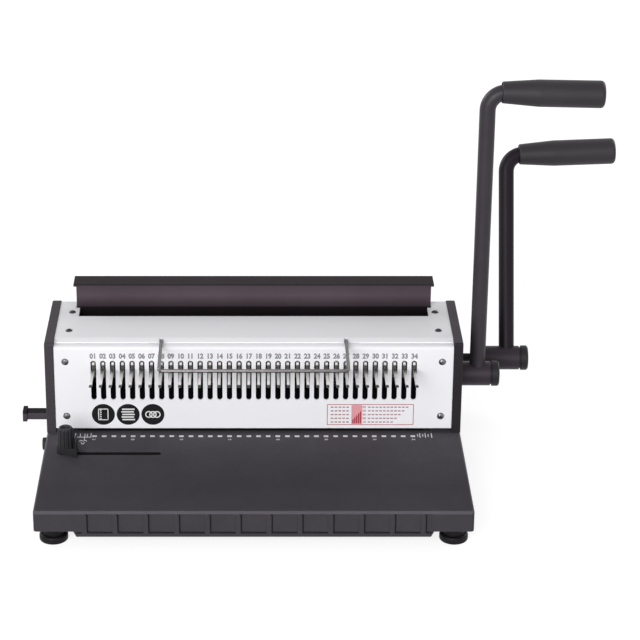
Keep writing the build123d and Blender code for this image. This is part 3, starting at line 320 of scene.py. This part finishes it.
finishes = {
    "black_moulding": surface("black_moulding_finish", black_moulding, **moulding),
    "side_paint": surface("side_paint_finish", black_powder, specular=0.2, **powder_coat),
    "white_paint": surface("white_paint_finish", white_enamel, 0.42, grain=700.0, bump=0.10, shade=0.012,
                           shade_scale=12.0, gloss_change=0.05, specular=0.3),
    # The closing bar's web gets painted shade and a painted highlight from its bands
    "dark_paint": surface("dark_paint_finish", dark_enamel, 0.55, grain=600.0, bump=0.12, shade=0.10,
                          shade_scale=14.0, specular=0.06, bands=(web_shade_and_highlight_bands,)),
    "handle_black": surface("handle_paint_finish", hub_paint, specular=0.25, **handle_coat),
    "grip_black": surface("grip_finish", grip_plastic, specular=0.28, **grip_moulding),
    # Plated steel gets painted shade and painted highlights along the fingers from its bands
    "bright_steel": surface("bright_steel_finish", plated_steel, 0.30, metallic=1.0, grain=900.0, bump=0.08,
                            stretch=(1.0, 0.15, 1.0), shade=0.10, shade_scale=120.0,
                            bands=(finger_shade_and_highlight_bands,)),
    "bail_chrome": surface("bail_finish", bail_plate, 0.20, metallic=1.0, grain=500.0, bump=0.04,
                           shade=0.08, shade_scale=60.0),
    # The screws get painted shade on the top cover from their bands
    "screw_zinc": surface("screw_finish", zinc, 0.30, metallic=1.0, grain=1500.0, bump=0.10, shade=0.12,
                          shade_scale=200.0, bands=(top_screw_shade_bands,)),
    "tool_steel": surface("tool_steel_finish", blackened_steel, grain=800.0, stretch=(0.1, 1.0, 1.0),
                          **black_oxide),
    "frame_steel": surface("frame_steel_finish", blackened_steel, grain=900.0, **black_oxide),
    "spring_steel": surface("spring_finish", spring_wire, 0.4, metallic=1.0, grain=1200.0, bump=0.1),
    "bush_bronze": surface("bush_finish", bronze, 0.4, metallic=1.0, grain=1600.0, bump=0.2),
    "foot_rubber": surface("foot_rubber_finish", rubber_black, 0.5, grain=1800.0, bump=0.4,
                           depth=0.03 * mm, specular=0.14),
    "knob_black": surface("knob_finish", knob_plastic, 0.5, grain=2000.0, bump=0.3, specular=0.3),
}
cap_finish = surface("cap_finish", cap_plastic, specular=0.24, **grip_moulding)
own_finishes = {
    # The deck: a painted highlight on its front edge, a painted reflection near the panel and painted shade
    # inside the base
    "deck_base": surface("deck_finish", black_moulding, bands=(deck_edge_highlight_bands, deck_panel_reflection_bands), hollow=base_hollow,
                         **moulding),
    # The tray pull: black paint with a painted highlight and painted shade
    "tray_pull": surface("pull_finish", black_powder, specular=0.05, bands=(pull_highlight_and_shade_bands,), **powder_coat),
    # The right side cover: the same black paint as the left, with painted shade along its front
    "side_cover_right": surface("right_cover_finish", black_powder, specular=0.14, bands=(side_cover_shade_bands,),
                                **powder_coat),
    "punch_arm": surface("punch_arm_finish", front_arm_paint, specular=0.25, **handle_coat),
    # The rear arm: its paint darker than the front arm's, painted shade
    "closing_arm": surface("closing_arm_finish", rear_arm_shaded_paint, specular=0.14, **handle_coat),
    "punch_hub_cap": cap_finish,
    "closing_hub_cap": cap_finish,
}
inks = {
    name: surface(f"{name}_ink_finish", colour, 0.6, grain=2500.0, bump=0.1, shade=0.04, specular=0.2)
    for name, colour in ink_colours.items()
}


def finish_of(node):
    """The node's own finish, or else that of its material slot."""
    return own_finishes.get(node, finishes[slots[node]])


def paint(piece, made):
    """Gives a piece one material all over."""
    piece.data.materials.clear()
    piece.data.materials.append(made)


def stand_in(node, suffix, mesh):
    """A piece with the node's finish, which moves with the node's body and stands for the node."""
    piece = bpy.data.objects.new(f"{node}_{suffix}", mesh)
    bpy.context.scene.collection.objects.link(piece)
    paint(piece, finish_of(node))
    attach(piece, body_of_node[node])
    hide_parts(node)
    return piece


def dressed(node, bevel):
    """A twin of a CAD node with real rounded edges."""
    mesh = bpy.data.meshes.new(f"{node}_dressed")
    work = bmesh.new()
    work.from_mesh(nodes[node].data)
    bmesh.ops.remove_doubles(work, verts=work.verts, dist=weld_distance)
    bmesh.ops.dissolve_limit(work, angle_limit=math.radians(flat_below), verts=work.verts, edges=work.edges)
    limit = math.radians(bevelled_above)
    edges = [edge for edge in work.edges if len(edge.link_faces) == 2 and edge.calc_face_angle() > limit]
    bmesh.ops.bevel(work, geom=edges, offset=bevel, segments=bevel_segments, profile=0.5, affect="EDGES",
                    clamp_overlap=True, harden_normals=False)
    work.to_mesh(mesh)
    work.free()
    mesh.shade_smooth()
    mesh.set_sharp_from_angle(angle=math.radians(smooth_below))
    weighted = stand_in(node, "shell", mesh).modifiers.new("weighted", "WEIGHTED_NORMAL")
    weighted.keep_sharp = True
    weighted.weight = 100


def sprung(node):
    """A spring's coils: a copy of its node's mesh that stands for the node."""
    piece = stand_in(node, "coils", nodes[node].data.copy())
    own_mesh(piece)


for name, node in nodes.items():
    paint(node, finish_of(name))

dressed_edges = {
    "front_panel": 0.25 * mm,
    "top_cover": 0.3 * mm,
    "rear_cover": 0.3 * mm,
    "deck_base": 0.25 * mm,
    "closing_bar": 0.3 * mm,
    "side_guide": 0.3 * mm,
    "wire_fingers": 0.25 * mm,
    "tray_pull": 0.3 * mm,
    "chip_tray": 0.25 * mm,
    "back_stop": 0.25 * mm,
    "punch_guide": 0.25 * mm,
    "wire_anvil": 0.3 * mm,
}
for name, width in dressed_edges.items():
    dressed(name, width)
for name in ("return_spring_left", "return_spring_right"):
    sprung(name)


def solid(outline):
    """A thin flat solid in XY from the corners of its outline."""
    work = bmesh.new()
    corners = [work.verts.new((x, y, -print_thickness / 2)) for x, y in outline]
    face = work.faces.new(corners)
    grown = bmesh.ops.extrude_face_region(work, geom=[face])
    top = [item for item in grown["geom"] if isinstance(item, bmesh.types.BMVert)]
    bmesh.ops.translate(work, vec=(0, 0, print_thickness), verts=top)
    bmesh.ops.recalc_face_normals(work, faces=work.faces)
    mesh = bpy.data.meshes.new("print")
    work.to_mesh(mesh)
    work.free()
    return mesh


def bar(width, height, x=0.0, y=0.0):
    """The outline of an upright bar about a point."""
    return [(x - width / 2, y - height / 2), (x + width / 2, y - height / 2),
            (x + width / 2, y + height / 2), (x - width / 2, y + height / 2)]


def line(start, end, width):
    """The outline of a straight stroke between two points."""
    along = (Vector(end) - Vector(start)).normalized() * width / 2
    side = Vector((-along.y, along.x))
    corners = (Vector(start) - along - side, Vector(end) + along - side,
               Vector(end) + along + side, Vector(start) - along + side)
    return [tuple(corner) for corner in corners]


def half_ring(radius, width, start, x, y=0.0, steps=20):
    """The outline of half a ring: out along its rim and back along its bore."""
    turns = [math.radians(start + 180 * step / steps) for step in range(steps + 1)]
    rim, bore = radius + width / 2, radius - width / 2
    outline = [(x + rim * math.cos(turn), y + rim * math.sin(turn)) for turn in turns]
    return outline + [(x + bore * math.cos(turn), y + bore * math.sin(turn)) for turn in reversed(turns)]


def disc(radius, steps=48):
    """The outline of a full round."""
    turns = [2 * math.pi * step / steps for step in range(steps)]
    return [(radius * math.cos(turn), radius * math.sin(turn)) for turn in turns]


def text_mesh(body, size, bold, width_share=1.0):
    """The flat solid characters of a short text, lying in XY with its middle at the origin."""
    curve = bpy.data.curves.new("number", "FONT")
    curve.body = body
    curve.size = size
    curve.extrude = print_thickness / 2
    curve.offset = bold
    curve.align_x = "CENTER"
    curve.align_y = "CENTER"
    curve.resolution_u = 4
    holder = bpy.data.objects.new("number", curve)
    bpy.context.scene.collection.objects.link(holder)
    bpy.context.view_layer.update()
    evaluated = holder.evaluated_get(bpy.context.evaluated_depsgraph_get())
    mesh = bpy.data.meshes.new_from_object(evaluated)
    bpy.data.objects.remove(holder)
    for vertex in mesh.vertices:
        vertex.co.x *= width_share
    return mesh


def add_prints(name, pieces, ink):
    """Joins printed marks, each a mesh with its place, into one thin piece."""
    joined = bmesh.new()
    for mesh, place in pieces:
        start = len(joined.verts)
        joined.from_mesh(mesh)
        joined.verts.ensure_lookup_table()
        for vertex in joined.verts[start:]:
            vertex.co = place(vertex.co)
    made = bpy.data.meshes.new(name)
    joined.to_mesh(made)
    joined.free()
    piece = bpy.data.objects.new(name, made)
    bpy.context.scene.collection.objects.link(piece)
    paint(piece, inks[ink])
    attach(piece, "chassis")


def on_panel(x, z, lift=print_lift):
    """A place on the front panel: the print's own XY becomes the panel's XZ."""
    return lambda point: Vector((x + point.x, panel_y - lift - point.z, z + point.y))


def on_deck(x, y, lift=print_lift):
    """A place on the deck."""
    return lambda point: Vector((x + point.x, y + point.y, deck_z + lift + point.z))


def shapes(outlines, place):
    """Printed shapes that share one place."""
    return [(solid(outline), place) for outline in outlines]


def print_slot_numbers():
    """The bold grey numbers over the slots."""
    size, bold, width_share = 6.44 * mm, 0.30 * mm, 0.88
    row_z = top_z - 11.7 * mm
    numbers = [(text_mesh(f"{index + 1:02d}", size, bold, width_share), on_panel(x, row_z))
               for index, x in enumerate(slot_places)]
    add_prints("slot_numbers", numbers, "grey")


def print_deck_marks():
    """The marks in front of the slots, with plain numbers under some of them."""
    mark_width, mark_depth = 4.0 * mm, 3.2 * mm
    number_size = 3.4 * mm
    number_y = mark_y - 6.6 * mm
    numbered_slots = (1, 5, 10, 15, 20, 25, 30, 34)
    marks = []
    for x in slot_places:
        marks += shapes([bar(mark_width, mark_depth)], on_deck(x, mark_y))
    for number in numbered_slots:
        mesh = text_mesh(f"{number:02d}", number_size, thin_bold)
        marks.append((mesh, on_deck(slot_places[number - 1], number_y)))
    add_prints("deck_marks", marks, "white")


def print_deck_ticks():
    """The short scales at both ends of the marks, and the sign under the left one."""
    # Each tick's place across and its length, in millimetres
    left_ticks = ((-156.5, 9.0), (-152.3, 7.5), (-148.3, 12.0), (-146.2, 6.0), (-142.9, 9.0))
    right_ticks = ((144.0, 5.0), (146.0, 9.0), (148.5, 5.0), (150.7, 9.0), (153.2, 5.0), (156.2, 9.0))
    tick_width = 0.7 * mm
    short_below = 10.0
    short_y, long_y = mark_y + 1.6 * mm, mark_y - 1.4 * mm
    ticks = []
    for x, length in left_ticks + right_ticks:
        middle = short_y if length < short_below else long_y
        ticks += shapes([bar(tick_width, length * mm)], on_deck(x * mm, middle))

    rule_length, rule_width = 13.6 * mm, 1.2 * mm
    rule_x, rule_y = -149.7 * mm, mark_y - 2.0 * mm
    ticks += shapes([bar(rule_length, rule_width)], on_deck(rule_x, rule_y, deck_over_lift))

    sign_x, sign_y = -149.2 * mm, mark_y - 12.4 * mm
    wider, taller = 0.85, 1.4
    arc_radius, arc_width, arc_x, arc_y = 1.5 * mm, 1.0 * mm, 2.1 * mm, 1.4 * mm
    barb, tip, arrow_width = (1.6 * mm, -0.6 * mm), (0.3 * mm, -2.4 * mm), 0.9 * mm
    arcs = [half_ring(arc_radius, arc_width, 0, side * arc_x, arc_y) for side in (-1, 1)]
    arrow = [line((side * barb[0], barb[1]), (side * tip[0], tip[1]), arrow_width)
             for side in (-1, 1)]
    for outlines, lift in ((arcs, print_lift), (arrow, deck_over_lift)):
        stretched = [[(wider * x, taller * y) for x, y in outline] for outline in outlines]
        ticks += shapes(stretched, on_deck(sign_x, sign_y, lift))
    add_prints("deck_ticks", ticks, "white")


def print_badges():
    """Three black rounds with plain pictures: a punched sheet, a stack of sheets and a twin loop."""
    radius = 10.1 * mm
    row_z = deck_z + 17.6 * mm
    sheet_x, stack_x, loop_x = -132.0 * mm, -110.2 * mm, -88.5 * mm
    rounds = []
    for x in (sheet_x, stack_x, loop_x):
        rounds += shapes([disc(radius)], on_panel(x, row_z))
    add_prints("panel_badges", rounds, "black")

    sheet_width, sheet_height, stroke = 9.0 * mm, 11.2 * mm, 0.8 * mm
    side_x, end_y = (sheet_width - stroke) / 2, (sheet_height - stroke) / 2
    sheet = [bar(sheet_width, stroke, 0, side * end_y) for side in (1, -1)]
    sheet += [bar(stroke, sheet_height, side * side_x) for side in (1, -1)]
    hole, hole_x, hole_pitch = 1.2 * mm, -2.2 * mm, 2.1 * mm
    sheet += [bar(hole, hole, hole_x, step * hole_pitch) for step in (-2, -1, 0, 1, 2)]
    pictures = shapes(sheet, on_panel(sheet_x, row_z, panel_over_lift))

    edge_length, edge_width, edge_pitch = 11.0 * mm, 1.3 * mm, 2.5 * mm
    stack = [bar(edge_length, edge_width, shift * mm, step * edge_pitch)
             for step, shift in ((-2, 0.4), (-1, -0.3), (0, 0.3), (1, -0.4), (2, 0.2))]
    pictures += shapes(stack, on_panel(stack_x, row_z, panel_over_lift))

    loop_radius, loop_width, loop_pitch = 2.8 * mm, 1.0 * mm, 3.5 * mm
    for step, side in enumerate((-1, 0, 1)):
        loop = [half_ring(loop_radius, loop_width, start, side * loop_pitch) for start in (90, -90)]
        pictures += shapes(loop, on_panel(loop_x, row_z, panel_over_lift + step * print_lift))
    add_prints("badge_pictures", pictures, "white")


def print_gauge_chart():
    """A framed size chart: a tinted gauge beside rows of plain numbers and rules."""
    width, height, stroke = 75.5 * mm, 19.5 * mm, 0.55 * mm
    chart_x, chart_z = 102.4 * mm, deck_z + 17.4 * mm
    over = on_panel(chart_x, chart_z, panel_over_lift)
    tint_width, tint_x = 9.5 * mm, -11.9 * mm
    tint = [bar(tint_width, height - 2 * stroke, tint_x)]
    add_prints("chart_tint", shapes(tint, on_panel(chart_x, chart_z)), "pink")

    frame_lines = [bar(width, stroke, 0, height / 2), bar(width, stroke, 0, -height / 2),
                   bar(stroke, height, -width / 2, 0), bar(stroke, height, width / 2, 0)]
    step_count, step_width, step_pitch, first_step_x = 5, 1.1 * mm, 1.65 * mm, -15.2 * mm
    first_height, height_gain, first_middle = 4.0 * mm, 1.9 * mm, -6.6 * mm
    steps = [bar(step_width, first_height + height_gain * step, first_step_x + step_pitch * step,
                 first_middle + height_gain / 2 * step)
             for step in range(step_count)]
    add_prints("chart_frame", shapes(frame_lines + steps, over), "red")

    row_count, row_pitch, top_row_y = 5, 3.6 * mm, 7.2 * mm
    number_size, number_x = 2.9 * mm, 97.0 * mm
    dash_length = 2.3 * mm
    right_dashes, right_x, right_pitch, right_width = 11, -1.0 * mm, 3.3 * mm, 1.0 * mm
    left_dashes, left_x, left_pitch, left_width = 5, -33.6 * mm, 3.4 * mm, 1.1 * mm
    rows = []
    for row in range(row_count):
        y = top_row_y - row_pitch * row
        rows.append((text_mesh(f"{2 * row + 2:02d}", number_size, thin_bold),
                     on_panel(number_x, chart_z + y, panel_over_lift)))
        dashes = [bar(dash_length, right_width, right_x + right_pitch * step, y)
                  for step in range(right_dashes - row)]
        dashes += [bar(dash_length, left_width, left_x + left_pitch * step, y)
                   for step in range(left_dashes)]
        rows += shapes(dashes, over)
    add_prints("chart_rows", rows, "rust")


def make_camera():
    """The photograph's camera."""
    data = bpy.data.cameras.new("camera")
    data.lens = camera_lens
    data.sensor_width = 36.0
    data.shift_x = camera_shift
    data.clip_end = 50.0
    camera = bpy.data.objects.new("camera", data)
    camera.location = camera_place
    camera.rotation_euler = (math.radians(90 - camera_down), 0, 0)
    bpy.context.scene.collection.objects.link(camera)
    bpy.context.scene.camera = camera


def add_light(name, place, size, power):
    """A square soft light that faces the object."""
    data = bpy.data.lights.new(name, "AREA")
    data.size = size
    data.energy = power
    light = bpy.data.objects.new(name, data)
    light.location = place
    light.rotation_euler = (Vector(light_target) - Vector(place)).to_track_quat("-Z", "Y").to_euler()
    bpy.context.scene.collection.objects.link(light)


def make_world():
    """White to the camera and in reflections, and softer as a light."""
    world = bpy.data.worlds.new("studio")
    bpy.context.scene.world = world
    world.use_nodes = True
    tree = world.node_tree
    tree.nodes.clear()
    soft = add_node(tree, "ShaderNodeBackground", Color=(1, 1, 1, 1), Strength=world_light)
    white = add_node(tree, "ShaderNodeBackground", Color=(1, 1, 1, 1), Strength=world_seen)
    shown = mixed(tree, seen_directly(tree), soft.outputs[0], white.outputs[0])
    tree.links.new(shown, add_node(tree, "ShaderNodeOutputWorld").inputs["Surface"])


def make_floor():
    """A pale floor that is white to the camera apart from the object's shadow."""
    mesh = bpy.data.meshes.new("floor")
    corners = [(x * floor_half, y * floor_half, 0) for x, y in ((-1, -1), (1, -1), (1, 1), (-1, 1))]
    mesh.from_pydata(corners, [], [(0, 1, 2, 3)])
    floor = bpy.data.objects.new("floor", mesh)
    bpy.context.scene.collection.objects.link(floor)
    made = bpy.data.materials.new("floor_finish")
    made.use_nodes = True
    tree = made.node_tree
    shader = tree.nodes["Principled BSDF"]
    shader.inputs["Base Color"].default_value = (floor_bounce, floor_bounce, floor_bounce, 1)
    shader.inputs["Roughness"].default_value = 0.9
    shader.inputs["Specular IOR Level"].default_value = 0.1
    shadow = add_node(tree, "ShaderNodeBsdfDiffuse", Color=(floor_seen, floor_seen, floor_seen, 1))
    glow = add_node(tree, "ShaderNodeEmission", Color=(1, 1, 1, 1), Strength=floor_glow)
    seen = add_node(tree, "ShaderNodeAddShader")
    tree.links.new(shadow.outputs[0], seen.inputs[0])
    tree.links.new(glow.outputs[0], seen.inputs[1])
    shown = mixed(tree, seen_directly(tree), shader.outputs[0], seen.outputs[0])
    tree.links.new(shown, tree.nodes["Material Output"].inputs["Surface"])
    floor.data.materials.append(made)


print_slot_numbers()
print_deck_marks()
print_deck_ticks()
print_badges()
print_gauge_chart()
make_camera()
make_world()
make_floor()
for name, (place, size, power) in lights.items():
    add_light(name, place, size, power)
bpy.context.scene.view_settings.view_transform = "Standard"
